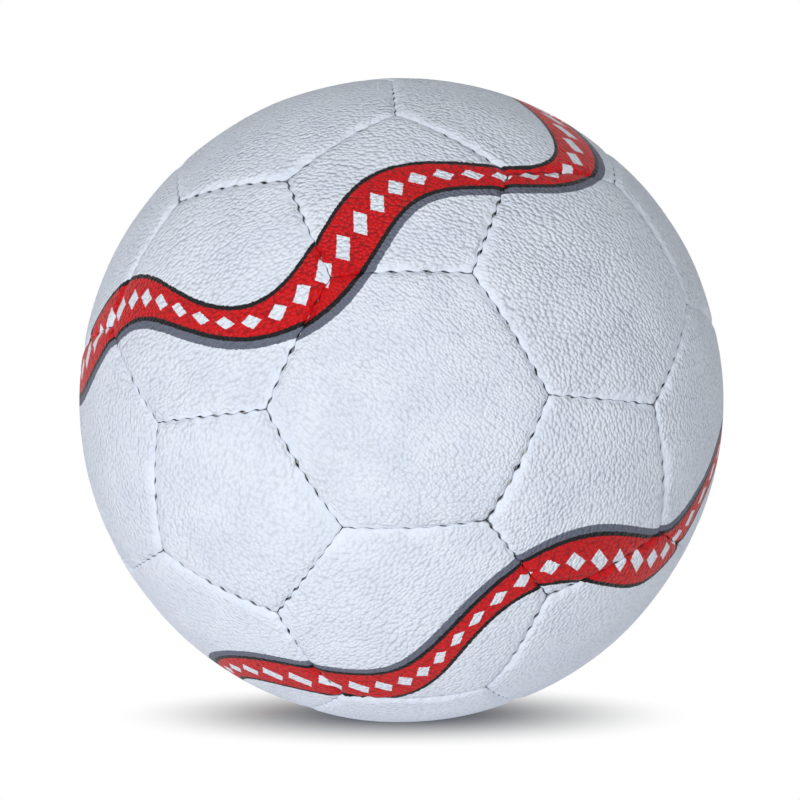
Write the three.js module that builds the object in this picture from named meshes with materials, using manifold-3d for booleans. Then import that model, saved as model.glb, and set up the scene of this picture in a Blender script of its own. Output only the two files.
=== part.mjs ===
// A hand-stitched handball of 32 panels, with its thread, bladder and valve.
// Millimetres, +Z up, origin at the ball's centre. The ball rests on a small flat at its lowest point.
import * as THREE from 'three';
import { mergeVertices } from 'three/addons/utils/BufferGeometryUtils.js';
import Module from 'manifold-3d';

const wasm = await Module();
wasm.setup();

// The ball
const ballDiameter = 187.8; // 590 mm round: a size 3 ball is 58 to 60 cm round
const restingFlatDepth = 0.35; // how far the ball's own weight flattens it where it rests

// The panels: a sheet of skin, foam and cloth, whose edges turn in at the seams
const sheetThickness = 3.4;
const edgeRoundRadius = 2; // outer edge, where the sheet turns in
const turnedEdgeReach = 1.8; // from the inner face of the sheet to the tip of the turned edge
const turnedEdgeThickness = 1.7; // pressed thinner than the sheet by the stitches

// The seams
const threadRadius = 0.4;
const threadClearance = 0.3; // from the thread to the panel on each side

// The bladder
const bladderWall = 1;
const bladderClearance = 0.3; // from the tips of the turned edges

// The valve: a rubber boot with its flange inside the bladder, and a soft core that seals itself
const valveBootLength = 24;
const valveRecess = 0.4; // the boot ends this far below the ball's surface
const valveNeckWall = 1.5; // round the core's head
const valveNeckClearance = 0.3; // round the neck, in the holes of the panel and the bladder
const valveFlangeRadius = 16;
const valveFlangeThickness = 1;
const valveFlangeClearance = 0.3; // from the bladder over it
const valveStemWall = 1.7; // round the core, below the flange
const valveOutletRadius = 1; // air hole at the boot's inner end
const valveOutletWall = 2;
const coreRadius = 2.2;
const coreHeadLip = 1;
const coreHeadHeight = 2;
const coreClearance = 0.3; // round the core, in the boot
const sealingLength = 10; // closed inner end of the core, which the needle pushes through
const needlePassageRadius = 0.6;
const needleMouthFlare = 0.7;
const needleMouthDepth = 1;

// How the pattern lies: where its front hexagon is, in degrees, and roughly where the valve is
const frontAzimuth = 1.2; // from -Y towards +X
const frontElevation = 1;
const frontRoll = -2.1; // clockwise seen from the front
const valveSide = new THREE.Vector3(0, 1, 1); // up and to the back

// Fineness of the facets
const edgeSegments = 3;
const crownRings = 2;
const roundSegments = 24;
const bladderSegments = 16;
const flangeSegments = 2;

const ballRadius = ballDiameter / 2;
const innerFaceRadius = ballRadius - sheetThickness;
const edgeTipRadius = innerFaceRadius - turnedEdgeReach;
const seamHalfGap = threadRadius + threadClearance;
const threadLineRadius = (ballRadius - edgeRoundRadius + edgeTipRadius) / 2;
const restingHeight = restingFlatDepth - ballRadius;
const angleTolerance = 0.01;
const up = new THREE.Vector3(0, 0, 1);

// The pattern is an icosahedron with its corners cut off: a pentagon at each corner, a hexagon on each face
const goldenRatio = (1 + Math.sqrt(5)) / 2;

function pentagonAxes() {
  const axes = [];
  for (const a of [-1, 1]) {
    for (const b of [-goldenRatio, goldenRatio]) {
      axes.push(new THREE.Vector3(0, a, b), new THREE.Vector3(a, b, 0), new THREE.Vector3(b, 0, a));
    }
  }
  return axes.map((axis) => axis.normalize());
}

function areNeighbours(a, b) {
  return Math.abs(a.angleTo(b) - Math.atan(2)) < angleTolerance;
}

// A corner of the panels lies a third of the way from one pentagon's middle to the next one's
function cornerBetween(a, b) {
  return a.clone().lerp(b, 1 / 3).normalize();
}

function nearestTo(target, axes) {
  return axes.reduce((a, b) => (b.angleTo(target) < a.angleTo(target) ? b : a));
}

function hexagonAxes(pentagons) {
  const axes = [];
  pentagons.forEach((a, i) => pentagons.slice(i + 1).forEach((b, j) => {
    for (const c of pentagons.slice(i + j + 2)) {
      if (areNeighbours(a, b) && areNeighbours(b, c) && areNeighbours(c, a)) {
        axes.push(a.clone().add(b).add(c).normalize());
      }
    }
  }));
  return axes;
}

// Turns the pattern so that one hexagon faces the front with a pentagon above it, then by the angles above
function patternTurn(front, pentagons) {
  const above = nearestTo(front, pentagons);
  const back = front.clone().negate();
  const upright = above.clone().projectOnPlane(front).normalize();
  const squared = new THREE.Matrix4().makeBasis(back.clone().cross(upright), back, upright).invert();
  const degrees = THREE.MathUtils.degToRad;
  const turn = new THREE.Euler(-degrees(frontElevation), degrees(frontRoll), degrees(frontAzimuth), 'ZXY');
  return new THREE.Matrix4().makeRotationFromEuler(turn).multiply(squared);
}

const plainPentagons = pentagonAxes();
const plainHexagons = hexagonAxes(plainPentagons);
const turn = patternTurn(plainHexagons[0], plainPentagons);
const topFirst = (a, b) => b.z - a.z;
const pentagons = plainPentagons.map((axis) => axis.applyMatrix4(turn)).sort(topFirst);
const hexagons = plainHexagons.map((axis) => axis.applyMatrix4(turn)).sort(topFirst);

// The angles at the ball's centre along a seam, and from a panel's middle to its corner
const [firstPentagon, secondPentagon] = [pentagons[0], nearestTo(pentagons[0], pentagons.slice(1))];
const sharedCorner = cornerBetween(firstPentagon, secondPentagon);
const seamAngle = sharedCorner.angleTo(cornerBetween(secondPentagon, firstPentagon));
const pentagonCornerAngle = sharedCorner.angleTo(firstPentagon);
const hexagonCornerAngle = sharedCorner.angleTo(nearestTo(sharedCorner, hexagons));

function isSeam(a, b) {
  return Math.abs(a.angleTo(b) - seamAngle) < angleTolerance;
}

// Straight facets along a seam dip inside the sphere through their ends
const facetDip = Math.cos(seamAngle / (2 * edgeSegments));
const bladderRadius = edgeTipRadius * facetDip - bladderClearance;

// A panel is made in its own frame: +Z out through its middle and +X towards the nearest pentagon
class PanelShape {
  constructor(sides, cornerAngle, firstCorner) {
    this.sides = sides;
    this.firstCorner = firstCorner;
    this.sideAngle = Math.atan(Math.tan(cornerAngle) * Math.cos(Math.PI / sides));
    this.reach = ballRadius * Math.sin(this.sideAngle);
  }

  // The seam's plane passes through the ball's centre, and its normal points into the panel
  seamNormal(side) {
    const middle = this.firstCorner + 2 * Math.PI * (side + 0.5) / this.sides;
    const flat = Math.cos(this.sideAngle);
    return new THREE.Vector3(-flat * Math.cos(middle), -flat * Math.sin(middle), Math.sin(this.sideAngle));
  }

  // The point at a corner that is `inset` from both seam planes and `radius` from the ball's centre
  corner(index, inset, radius) {
    const along = Math.sin(this.sideAngle);
    const across = Math.cos(this.sideAngle) * Math.cos(Math.PI / this.sides);
    const lean = Math.acos(inset / radius / Math.hypot(along, across)) - Math.atan2(across, along);
    const azimuth = this.firstCorner + 2 * Math.PI * index / this.sides;
    const direction = new THREE.Vector3(Math.sin(lean), 0, Math.cos(lean)).applyAxisAngle(up, azimuth);
    return direction.multiplyScalar(radius);
  }

  // All the way round the panel at one inset and one radius
  ring([inset, radius]) {
    const points = [];
    for (let side = 0; side < this.sides; side++) {
      const normal = this.seamNormal(side);
      const foot = normal.clone().multiplyScalar(inset);
      const start = this.corner(side, inset, radius).sub(foot);
      const end = this.corner(side + 1, inset, radius).sub(foot);
      const axis = start.clone().cross(end).normalize();
      for (let step = 0; step < edgeSegments; step++) {
        const swing = start.angleTo(end) * step / edgeSegments;
        points.push(start.clone().applyAxisAngle(axis, swing).add(foot));
      }
    }
    return points;
  }

  // Over the outer face and its rounded edge, down the seam, round the turned edge and under the inner face
  geometry() {
    const roundInset = seamHalfGap + edgeRoundRadius;
    const roundCentre = ballRadius - edgeRoundRadius;
    const half = edgeRoundRadius * Math.SQRT1_2;
    const turnedInset = seamHalfGap + turnedEdgeThickness;
    const crown = [];
    for (let ring = crownRings; ring > 0; ring--) {
      crown.push([this.reach * ring / (crownRings + 1), ballRadius]);
    }
    const rings = [
      ...crown,
      [roundInset, ballRadius],
      [roundInset - half, roundCentre + half],
      [seamHalfGap, roundCentre],
      [seamHalfGap, edgeTipRadius],
      [turnedInset, edgeTipRadius],
      [turnedInset, innerFaceRadius],
      [this.reach / 2, innerFaceRadius],
    ].map((place) => this.ring(place));
    const outerMiddle = up.clone().multiplyScalar(ballRadius);
    const innerMiddle = up.clone().multiplyScalar(innerFaceRadius);
    const points = [outerMiddle, ...rings.flat(), innerMiddle];
    return closedGeometry(points, loftTriangles(rings.length, this.sides * edgeSegments));
  }
}

// Triangles between a first point, a number of rings of `count` points, and a last point
function loftTriangles(ringCount, count) {
  const triangles = [];
  const at = (ring, step) => 1 + ring * count + step % count;
  const last = 1 + ringCount * count;
  for (let step = 0; step < count; step++) {
    triangles.push(0, at(0, step), at(0, step + 1));
    for (let ring = 0; ring + 1 < ringCount; ring++) {
      const [a, b, c, d] = [at(ring, step), at(ring, step + 1), at(ring + 1, step), at(ring + 1, step + 1)];
      triangles.push(a, c, d, a, d, b);
    }
    triangles.push(last, at(ringCount - 1, step + 1), at(ringCount - 1, step));
  }
  return triangles;
}

function closedGeometry(points, triangles) {
  const geometry = new THREE.BufferGeometry().setFromPoints(points);
  geometry.setIndex(triangles);
  geometry.computeVertexNormals();
  return geometry;
}

// Between three.js geometry and solids that can be joined and cut
function toSolid(geometry) {
  const bare = geometry.clone();
  bare.deleteAttribute('normal');
  bare.deleteAttribute('uv');
  const merged = mergeVertices(bare);
  const vertProperties = new Float32Array(merged.attributes.position.array);
  const triVerts = new Uint32Array(merged.index.array);
  return new wasm.Manifold(new wasm.Mesh({ numProp: 3, vertProperties, triVerts }));
}

function toGeometry(solid) {
  const mesh = solid.getMesh();
  const geometry = new THREE.BufferGeometry();
  geometry.setAttribute('position', new THREE.BufferAttribute(new Float32Array(mesh.vertProperties), 3));
  geometry.setIndex([...mesh.triVerts]);
  geometry.computeVertexNormals();
  return geometry;
}

// A lathe profile of [radius, height] pairs, turned so that its axis is +Z
function turned(profile) {
  const outline = profile.map(([radius, height]) => new THREE.Vector2(radius, height));
  return new THREE.LatheGeometry(outline, roundSegments).rotateX(Math.PI / 2);
}

function named(name, geometry, material) {
  const mesh = new THREE.Mesh(geometry, material);
  mesh.name = name;
  return mesh;
}

const skinMaterial = () => new THREE.MeshStandardMaterial({ color: 0xdde4ea, roughness: 0.6 });
const threadMaterial = () => new THREE.MeshStandardMaterial({ color: 0xd9d5c8, roughness: 0.8 });
const rubberMaterial = () => new THREE.MeshStandardMaterial({ color: 0x1d1d1f, roughness: 0.7 });
const paleRubberMaterial = () => new THREE.MeshStandardMaterial({ color: 0xcfcdc4, roughness: 0.6 });

// Panels
const pentagonShape = new PanelShape(5, pentagonCornerAngle, 0);
const hexagonShape = new PanelShape(6, hexagonCornerAngle, Math.PI / 6);

function panel(name, shape, axis) {
  const nearest = nearestTo(axis, pentagons.filter((other) => other !== axis));
  const towards = nearest.clone().projectOnPlane(axis).normalize();
  const mesh = named(name, shape.geometry(), skinMaterial());
  const frame = new THREE.Matrix4().makeBasis(towards, axis.clone().cross(towards), axis);
  mesh.quaternion.setFromRotationMatrix(frame);
  return mesh;
}

// Cuts a panel level where it would reach below the resting height
function flattenForResting(mesh) {
  const places = mesh.geometry.attributes.position;
  const lowest = Math.min(...Array.from({ length: places.count }, (_, i) => (
    new THREE.Vector3().fromBufferAttribute(places, i).applyQuaternion(mesh.quaternion).z
  )));
  if (lowest > restingHeight) return;
  const below = new THREE.BoxGeometry(2 * ballRadius, 2 * ballRadius, ballRadius);
  below.translate(0, 0, restingHeight - ballRadius / 2);
  below.applyQuaternion(mesh.quaternion.clone().invert());
  mesh.geometry = toGeometry(toSolid(mesh.geometry).subtract(toSolid(below)));
}

// The hole is a many-sided one, so it is drawn larger to clear the neck at the middle of each side
function cutValveHole(mesh) {
  const radius = valveHoleRadius / Math.cos(Math.PI / roundSegments);
  const drill = new THREE.CylinderGeometry(radius, radius, 2 * ballRadius, roundSegments);
  drill.rotateX(Math.PI / 2).translate(0, 0, ballRadius);
  mesh.geometry = toGeometry(toSolid(mesh.geometry).subtract(toSolid(drill)));
}

// Thread
function cornerDirections() {
  const corners = [];
  for (const axis of pentagons) {
    for (const other of pentagons.filter((candidate) => areNeighbours(axis, candidate))) {
      corners.push(cornerBetween(axis, other));
    }
  }
  return corners;
}

// The point beside a corner where the threads towards two of its neighbours meet
function mitre(corner, first, second) {
  const [a, b] = [first, second].map((other) => other.clone().projectOnPlane(corner).normalize());
  const out = threadRadius / Math.sin(a.angleTo(b) / 2);
  return corner.clone().multiplyScalar(threadLineRadius).add(a.add(b).setLength(out));
}

// One section of a thread at a corner, which it shares with the two other threads there
function sharedSection(corner, along, side, corners) {
  const others = corners.filter((other) => other !== along && isSeam(corner, other));
  const [left, right] = others.sort((a, b) => b.dot(side) - a.dot(side));
  return section(corner, mitre(corner, along, left), mitre(corner, along, right));
}

function section(direction, left, right) {
  const outer = direction.clone().multiplyScalar(threadLineRadius + threadRadius);
  const inner = direction.clone().multiplyScalar(threadLineRadius - threadRadius);
  return [outer, left, inner, right];
}

// One network of thread with a square section that stands on its edge, closed without ends
function seamThread() {
  const corners = cornerDirections();
  const points = [];
  for (const [i, start] of corners.entries()) {
    for (const end of corners.slice(i + 1).filter((other) => isSeam(start, other))) {
      const side = start.clone().cross(end).normalize();
      const sections = [sharedSection(start, end, side, corners)];
      for (let step = 1; step < edgeSegments; step++) {
        const direction = start.clone().applyAxisAngle(side, seamAngle * step / edgeSegments);
        const middle = direction.clone().multiplyScalar(threadLineRadius);
        const left = middle.clone().addScaledVector(side, threadRadius);
        const right = middle.clone().addScaledVector(side, -threadRadius);
        sections.push(section(direction, left, right));
      }
      sections.push(sharedSection(end, start, side, corners));
      points.push(...skinBetween(sections));
    }
  }
  return mergeVertices(new THREE.BufferGeometry().setFromPoints(points));
}

function skinBetween(sections) {
  const points = [];
  for (let i = 0; i + 1 < sections.length; i++) {
    for (let k = 0; k < 4; k++) {
      const [a, b] = [sections[i][k], sections[i][(k + 1) % 4]];
      const [c, d] = [sections[i + 1][k], sections[i + 1][(k + 1) % 4]];
      points.push(a, d, b, a, c, d);
    }
  }
  return points;
}

// Bladder and valve, made with the valve's axis along +Z and then turned to it
const coreHeadRadius = coreRadius + coreHeadLip;
const valveNeckRadius = coreHeadRadius + coreClearance + valveNeckWall;
const valveStemRadius = coreRadius + coreClearance + valveStemWall;
const valveHoleRadius = valveNeckRadius + valveNeckClearance;
const valveTop = ballRadius - valveRecess;
const valveBottom = valveTop - valveBootLength;
const outletShelf = valveBottom + valveOutletWall;

// Points [radius, height] on an arc round the ball's centre, between two angles from the valve's axis
function arc(radius, from, to, segments) {
  const points = [];
  for (let step = 0; step <= segments; step++) {
    const angle = from + (to - from) * step / segments;
    points.push([radius * Math.sin(angle), radius * Math.cos(angle)]);
  }
  return points;
}

const bladderInner = bladderRadius - bladderWall;
const holeAngle = Math.asin(valveHoleRadius / bladderInner);

function bladderGeometry() {
  const outside = arc(bladderRadius, Math.PI, Math.asin(valveHoleRadius / bladderRadius), bladderSegments);
  const inside = arc(bladderInner, holeAngle, Math.PI, bladderSegments);
  outside[0][0] = 0;
  inside[bladderSegments][0] = 0;
  return turned([...outside, ...inside]);
}

// The flange follows the bladder, whose facets dip inside their own sphere
const bladderDip = Math.cos((Math.PI - holeAngle) / (2 * bladderSegments));
const flangeOuter = bladderInner * bladderDip - valveFlangeClearance;
const flangeInner = flangeOuter - valveFlangeThickness;

function valveBootGeometry() {
  const bore = coreRadius + coreClearance;
  const pocket = coreHeadRadius + coreClearance;
  const pocketFloor = valveTop - coreHeadHeight - coreClearance;
  const rim = Math.asin(valveFlangeRadius / flangeOuter);
  const under = arc(flangeInner, Math.asin(valveStemRadius / flangeInner), rim, flangeSegments);
  const over = arc(flangeOuter, rim, Math.asin(valveNeckRadius / flangeOuter), flangeSegments);
  const outside = [[valveStemRadius, valveBottom], ...under, ...over, [valveNeckRadius, valveTop]];
  const inside = [[pocket, valveTop], [pocket, pocketFloor], [bore, pocketFloor], [bore, outletShelf]];
  const outlet = [[valveOutletRadius, outletShelf], [valveOutletRadius, valveBottom]];
  return turned([...outside, ...inside, ...outlet, outside[0]]);
}

function valveCoreGeometry() {
  const bottom = outletShelf + coreClearance;
  const headFloor = valveTop - coreHeadHeight;
  const passageEnd = bottom + sealingLength;
  return turned([
    [0, bottom],
    [coreRadius, bottom],
    [coreRadius, headFloor],
    [coreHeadRadius, headFloor],
    [coreHeadRadius, valveTop],
    [needlePassageRadius + needleMouthFlare, valveTop],
    [needlePassageRadius, valveTop - needleMouthDepth],
    [needlePassageRadius, passageEnd],
    [0, passageEnd],
  ]);
}

// The ball
const ball = new THREE.Group();

const valveAxis = nearestTo(valveSide, hexagons);

const twoDigits = (number) => String(number).padStart(2, '0');
function panelsOf(kind, shape, axes) {
  return axes.map((axis, i) => panel(`${kind}_panel_${twoDigits(i + 1)}`, shape, axis));
}

const pentagonPanels = panelsOf('pentagon', pentagonShape, pentagons);
const hexagonPanels = panelsOf('hexagon', hexagonShape, hexagons.filter((axis) => axis !== valveAxis));
const valvePanel = panel('valve_panel', hexagonShape, valveAxis);
cutValveHole(valvePanel);
for (const mesh of [...pentagonPanels, ...hexagonPanels, valvePanel]) {
  flattenForResting(mesh);
  ball.add(mesh);
}

ball.add(named('seam_thread', seamThread(), threadMaterial()));

const valveGroup = new THREE.Group();
valveGroup.quaternion.setFromUnitVectors(up, valveAxis);
valveGroup.add(named('bladder', bladderGeometry(), rubberMaterial()));
valveGroup.add(named('valve_boot', valveBootGeometry(), rubberMaterial()));
valveGroup.add(named('valve_core', valveCoreGeometry(), paleRubberMaterial()));
ball.add(valveGroup);

export default ball;
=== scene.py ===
import bpy
import bmesh
import itertools
import math
import numpy as np
from mathutils import Matrix, Vector


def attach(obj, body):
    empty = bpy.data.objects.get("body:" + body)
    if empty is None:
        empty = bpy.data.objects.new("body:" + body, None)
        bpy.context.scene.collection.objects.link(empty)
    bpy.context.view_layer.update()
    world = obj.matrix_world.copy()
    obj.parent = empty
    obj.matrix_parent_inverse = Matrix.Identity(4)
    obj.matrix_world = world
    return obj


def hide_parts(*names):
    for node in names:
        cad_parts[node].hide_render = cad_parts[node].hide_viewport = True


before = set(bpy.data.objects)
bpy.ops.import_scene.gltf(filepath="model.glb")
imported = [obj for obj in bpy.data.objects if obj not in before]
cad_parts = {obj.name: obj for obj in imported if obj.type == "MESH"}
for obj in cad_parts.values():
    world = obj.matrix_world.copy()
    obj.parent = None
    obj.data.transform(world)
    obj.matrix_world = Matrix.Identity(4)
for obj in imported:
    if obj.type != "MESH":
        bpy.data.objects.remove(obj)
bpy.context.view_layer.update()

print("frame loaded:", len(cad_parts), "nodes")

mm = 0.001

ball = {
    "radius": 93.9 * mm,  # 590 mm round
    "restingHeight": -93.55 * mm,  # its weight flattens it a little where it stands
    "frontAzimuth": 1.2,  # degrees: how the hexagon at the front lies
    "frontElevation": 1.0,
    "frontRoll": -2.1,
}

panel = {
    "cuts": 63,  # along each seam
    "edgeRows": 14,  # rows of vertices in the rounded edge
    "rollWidth": 3.2 * mm,  # how far in from the seam the edge turns down
    "rollDepth": 0.7 * mm,
    "curlWidth": 0.5 * mm,  # and the tighter turn at the seam itself
    "curlDepth": 0.22 * mm,
    "cornerRounding": 0.55 * mm,
    "pillow": 0.25 * mm,  # the middle stands proud of the edges
    "pillowBase": 0.6,  # the share of the pillow that is taken off all over
    "waves": 0.12 * mm,  # the outside isn't quite even
    "waveLength": 26 * mm,
    "waveSeed": 5,
    "seamHalfGap": 0.02 * mm,
    "turnedEdgeDepth": 5.2 * mm,
    "turnedEdgeThickness": 1.7 * mm,
    "sheetThickness": 3.4 * mm,
    "liningLift": 0.6 * mm,  # where the ball stands, from the outside to the layers over it
    "grainSeed": 11,  # for where on the sheet each panel was cut
    "grainPole": (-0.33, -0.82, -0.45),  # the grain runs round this axis
    "grainSpread": 0.2,  # radians, how far it strays from that
    "grainDepth": 0.84,
    "grainSlope": 0.13,  # it is pressed deeper to the right,
    "lowGrain": 0.3,  # less deep below,
    "frontFineness": 0.25,  # and finer on the panel at the front
    "printTurn": 0.012,  # radians, how far the print misses its place
    "printTilt": 0.007,
}

stitching = {
    "perSeam": 8,
    "pull": 0.85,  # how hard the stitches are drawn in
    "unevenPull": 0.45,
    "pullLengths": (9 * mm, 45 * mm),  # over which that varies
    "pullSeeds": (3, 262),
    "pullRange": (0.05, 1.8),
    "zigzag": 0.22 * mm,  # the seam line is pulled to and fro by the stitches
    "slotHalfWidth": 0.3 * mm,  # and opens at each of them
    "slotSharpness": 2.0,
    "endClosing": 0.45,  # less so towards the ends of a seam
    "reach": 1.5 * mm,  # how far in from the seam the pull is felt
    "pucker": 0.16 * mm,
    "puckerReach": 2.6 * mm,
    "cornerEase": 3.0 * mm,  # the stitches stop short of the corners
    "cornerOpening": 0.1 * mm,
    "cornerReach": (1.6 * mm, 0.2 * mm),
}

valveHole = {
    "radius": 5.3 * mm,
    "layer": 9,  # the number of its inner edge
    "rows": 8,
    "roundRows": 5,
    "roundWidth": 0.9 * mm,
    "roundDepth": 0.6 * mm,
}


# The pattern: the axes of 12 pentagons and 20 hexagons, turned as the ball lies

neighbourAngle = 1.2  # radians: the axes of neighbouring pentagons are 1.11 apart
sameAngle = 0.01


def turned(axis, degrees):
    return Matrix.Rotation(math.radians(degrees), 3, axis)


def patternAxes():
    golden = (1 + math.sqrt(5)) / 2
    pentagons = [
        Vector(place).normalized()
        for a in (-1, 1)
        for b in (-golden, golden)
        for place in ((0, a, b), (a, b, 0), (b, 0, a))
    ]
    hexagons = [
        (a + b + c).normalized()
        for a, b, c in itertools.combinations(pentagons, 3)
        if max(a.angle(b), b.angle(c), c.angle(a)) < neighbourAngle
    ]
    front = hexagons[0]
    above = min(pentagons, key=front.angle)
    upright = (above - front * above.dot(front)).normalized()
    squared = Matrix(((-front).cross(upright), -front, upright))
    lie = turned("Z", ball["frontAzimuth"]) @ turned("X", -ball["frontElevation"])
    lie = lie @ turned("Y", ball["frontRoll"])
    return [lie @ squared @ axis for axis in pentagons], [lie @ squared @ axis for axis in hexagons]


pentagonAxes, hexagonAxes = patternAxes()
firstAxis = pentagonAxes[0]
nextAxis = min(pentagonAxes[1:], key=firstAxis.angle)
sharedCorner = firstAxis.lerp(nextAxis, 1 / 3).normalized()
seamAngle = sharedCorner.angle(nextAxis.lerp(firstAxis, 1 / 3).normalized())
cornerAngle = {
    5: sharedCorner.angle(firstAxis),
    6: min(sharedCorner.angle(axis) for axis in hexagonAxes),
}
firstCorner = {5: 0.0, 6: math.pi / 6}


def panelFrame(axis):
    # Columns: towards the nearest other pentagon, round from it, and out through the panel's middle
    others = [other for other in pentagonAxes if other.angle(axis) > sameAngle]
    nearest = min(others, key=axis.angle)
    towards = (nearest - axis * nearest.dot(axis)).normalized()
    return np.array(Matrix((towards, axis.cross(towards), axis)).transposed())


def nodeWay(node):
    # The way out through the middle of a CAD node
    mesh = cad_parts[node].data
    places = np.empty(len(mesh.vertices) * 3)
    mesh.vertices.foreach_get("co", places)
    return Vector(places.reshape(-1, 3).mean(axis=0)).normalized()


valveAxis = min(hexagonAxes, key=nodeWay("valve_panel").angle)


# Smooth variation over the ball, the same for whatever lies at one place


def softStep(low, high, value):
    t = np.clip((value - low) / (high - low), 0, 1)
    return t * t * (3 - 2 * t)


def waveNoise(places, length, seed, count=9):
    source = np.random.default_rng(seed)
    ways = source.normal(size=(count, 3))
    ways /= np.linalg.norm(ways, axis=1)[:, None]
    ways *= 2 * math.pi / length * source.uniform(0.7, 1.3, (count, 1))
    starts = source.uniform(0, 2 * math.pi, count)
    return np.sin(places @ ways.T + starts).sum(axis=1) / math.sqrt(2 * count)


def stitchPull(along, seamPlaces):
    # How far the seam line moves sideways, how far it opens, and how hard it is pulled down
    pitch = ball["radius"] * seamAngle / stitching["perSeam"]
    phase = 2 * math.pi * along / pitch
    half = ball["radius"] * seamAngle / 2
    ease = softStep(0, stitching["cornerEase"], half - np.abs(along))
    strength = stitching["pull"]
    for length, seed in zip(stitching["pullLengths"], stitching["pullSeeds"]):
        strength = strength + stitching["unevenPull"] * waveNoise(seamPlaces, length, seed)
    strength = np.clip(strength, *stitching["pullRange"])
    middle = 1 - stitching["endClosing"] * (along / half) ** 2
    atStitch = (0.5 - 0.5 * np.cos(phase)) ** stitching["slotSharpness"]
    sideways = stitching["zigzag"] * np.sin(phase) * ease * np.sqrt(strength)
    opening = stitching["slotHalfWidth"] * atStitch * ease * strength * middle
    opening += stitching["cornerOpening"] * softStep(*stitching["cornerReach"], half - np.abs(along))
    return sideways, opening, atStitch * ease * strength


# A panel's faces come from a flat polygon. Each vertex keeps its flat place, and -Z counts the layers:
# 0 the outside, 1 and 2 the end of the turned edge, 3 where it meets the sheet, 4 half way in, 5 the middle


def flatPanel(sides, withHole):
    bm = bmesh.new()
    bmesh.ops.create_circle(bm, cap_ends=True, cap_tris=True, segments=sides, radius=1)
    corner = max((v for v in bm.verts if v.co.length > 0.5), key=lambda v: v.co.x)
    start = math.atan2(corner.co.y, corner.co.x)
    spin = Matrix.Rotation(firstCorner[sides] - start, 3, "Z")
    bmesh.ops.rotate(bm, verts=bm.verts, cent=(0, 0, 0), matrix=spin)
    bmesh.ops.subdivide_edges(bm, edges=bm.edges[:], cuts=panel["cuts"], use_grid_fill=True)
    bmesh.ops.recalc_face_normals(bm, faces=bm.faces)
    if sum(f.normal.z for f in bm.faces) < 0:
        bmesh.ops.reverse_faces(bm, faces=bm.faces)
    holeEdges = []
    if withHole:
        places = np.array([v.co[:] for v in bm.verts])
        rows = sectorPlaces(places, sides)[1] * (panel["cuts"] + 1)
        inner = [v for v, row in zip(bm.verts, rows) if row < valveHole["rows"] - 0.5]
        bmesh.ops.delete(bm, geom=inner, context="VERTS")
    rim = [e for e in bm.edges if e.is_boundary]
    if withHole:
        holeEdges = [e for e in rim if e.verts[0].co.length < 0.5]
        rim = [e for e in rim if e.verts[0].co.length >= 0.5]
        holeEdges, _ = lowered(bm, holeEdges, valveHole["layer"])
    for _ in range(4):
        rim, lowest = lowered(bm, rim, 1)
    if withHole:
        bmesh.ops.bridge_loops(bm, edges=rim + holeEdges)
    else:
        rim, lowest = lowered(bm, rim, 1)
        bmesh.ops.pointmerge(bm, verts=lowest, merge_co=(0, 0, -5))
    bmesh.ops.triangulate(bm, faces=[f for f in bm.faces if len(f.verts) > 3])
    bmesh.ops.recalc_face_normals(bm, faces=bm.faces)
    mesh = bpy.data.meshes.new("flatPanel")
    bm.to_mesh(mesh)
    bm.free()
    return mesh


def lowered(bm, edges, drop):
    made = bmesh.ops.extrude_edge_only(bm, edges=edges)["geom"]
    verts = [g for g in made if isinstance(g, bmesh.types.BMVert)]
    bmesh.ops.translate(bm, verts=verts, vec=(0, 0, -drop))
    fresh = set(verts)
    return [g for g in made if isinstance(g, bmesh.types.BMEdge) and fresh.issuperset(g.verts)], verts


def sectorPlaces(places, sides):
    # Which side a flat place belongs to, how far out it is (0 to 1), and how far along the side (0 to 1)
    step = 2 * math.pi / sides
    turnedBy = (np.arctan2(places[:, 1], places[:, 0]) - firstCorner[sides]) % (2 * math.pi)
    side = np.minimum((turnedBy / step).astype(int), sides - 1)
    local = turnedBy - side * step
    out = np.hypot(places[:, 0], places[:, 1])
    later = out * np.sin(local) / math.sin(step)
    sooner = out * np.cos(local) - later * math.cos(step)
    total = sooner + later
    return side, total, np.where(total > 1e-6, later / np.maximum(total, 1e-6), 0.5)


def rowFractions(apothem, withHole):
    # Evenly spaced rows, then closer ones through the rounded edge
    count = panel["cuts"] + 1
    plain = count - panel["edgeRows"]
    width = panel["rollWidth"]
    inner = np.linspace(0, apothem - width, plain + 1)
    bend = np.linspace(0, math.pi / 2, panel["edgeRows"] + 1)[1:]
    outer = apothem - panel["seamHalfGap"] - (width - panel["seamHalfGap"]) * (1 - np.sin(bend))
    reach = np.concatenate([inner, outer])
    if withHole:
        first, rows = valveHole["rows"], valveHole["roundRows"]
        bend = np.linspace(0, math.pi / 2, rows + 1)
        reach[first:first + rows + 1] = valveHole["radius"] + valveHole["roundWidth"] * (1 - np.cos(bend))
        start = valveHole["radius"] + valveHole["roundWidth"]
        reach[first + rows:plain + 1] = np.linspace(start, apothem - width, plain + 1 - first - rows)
    return reach / apothem


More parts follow.
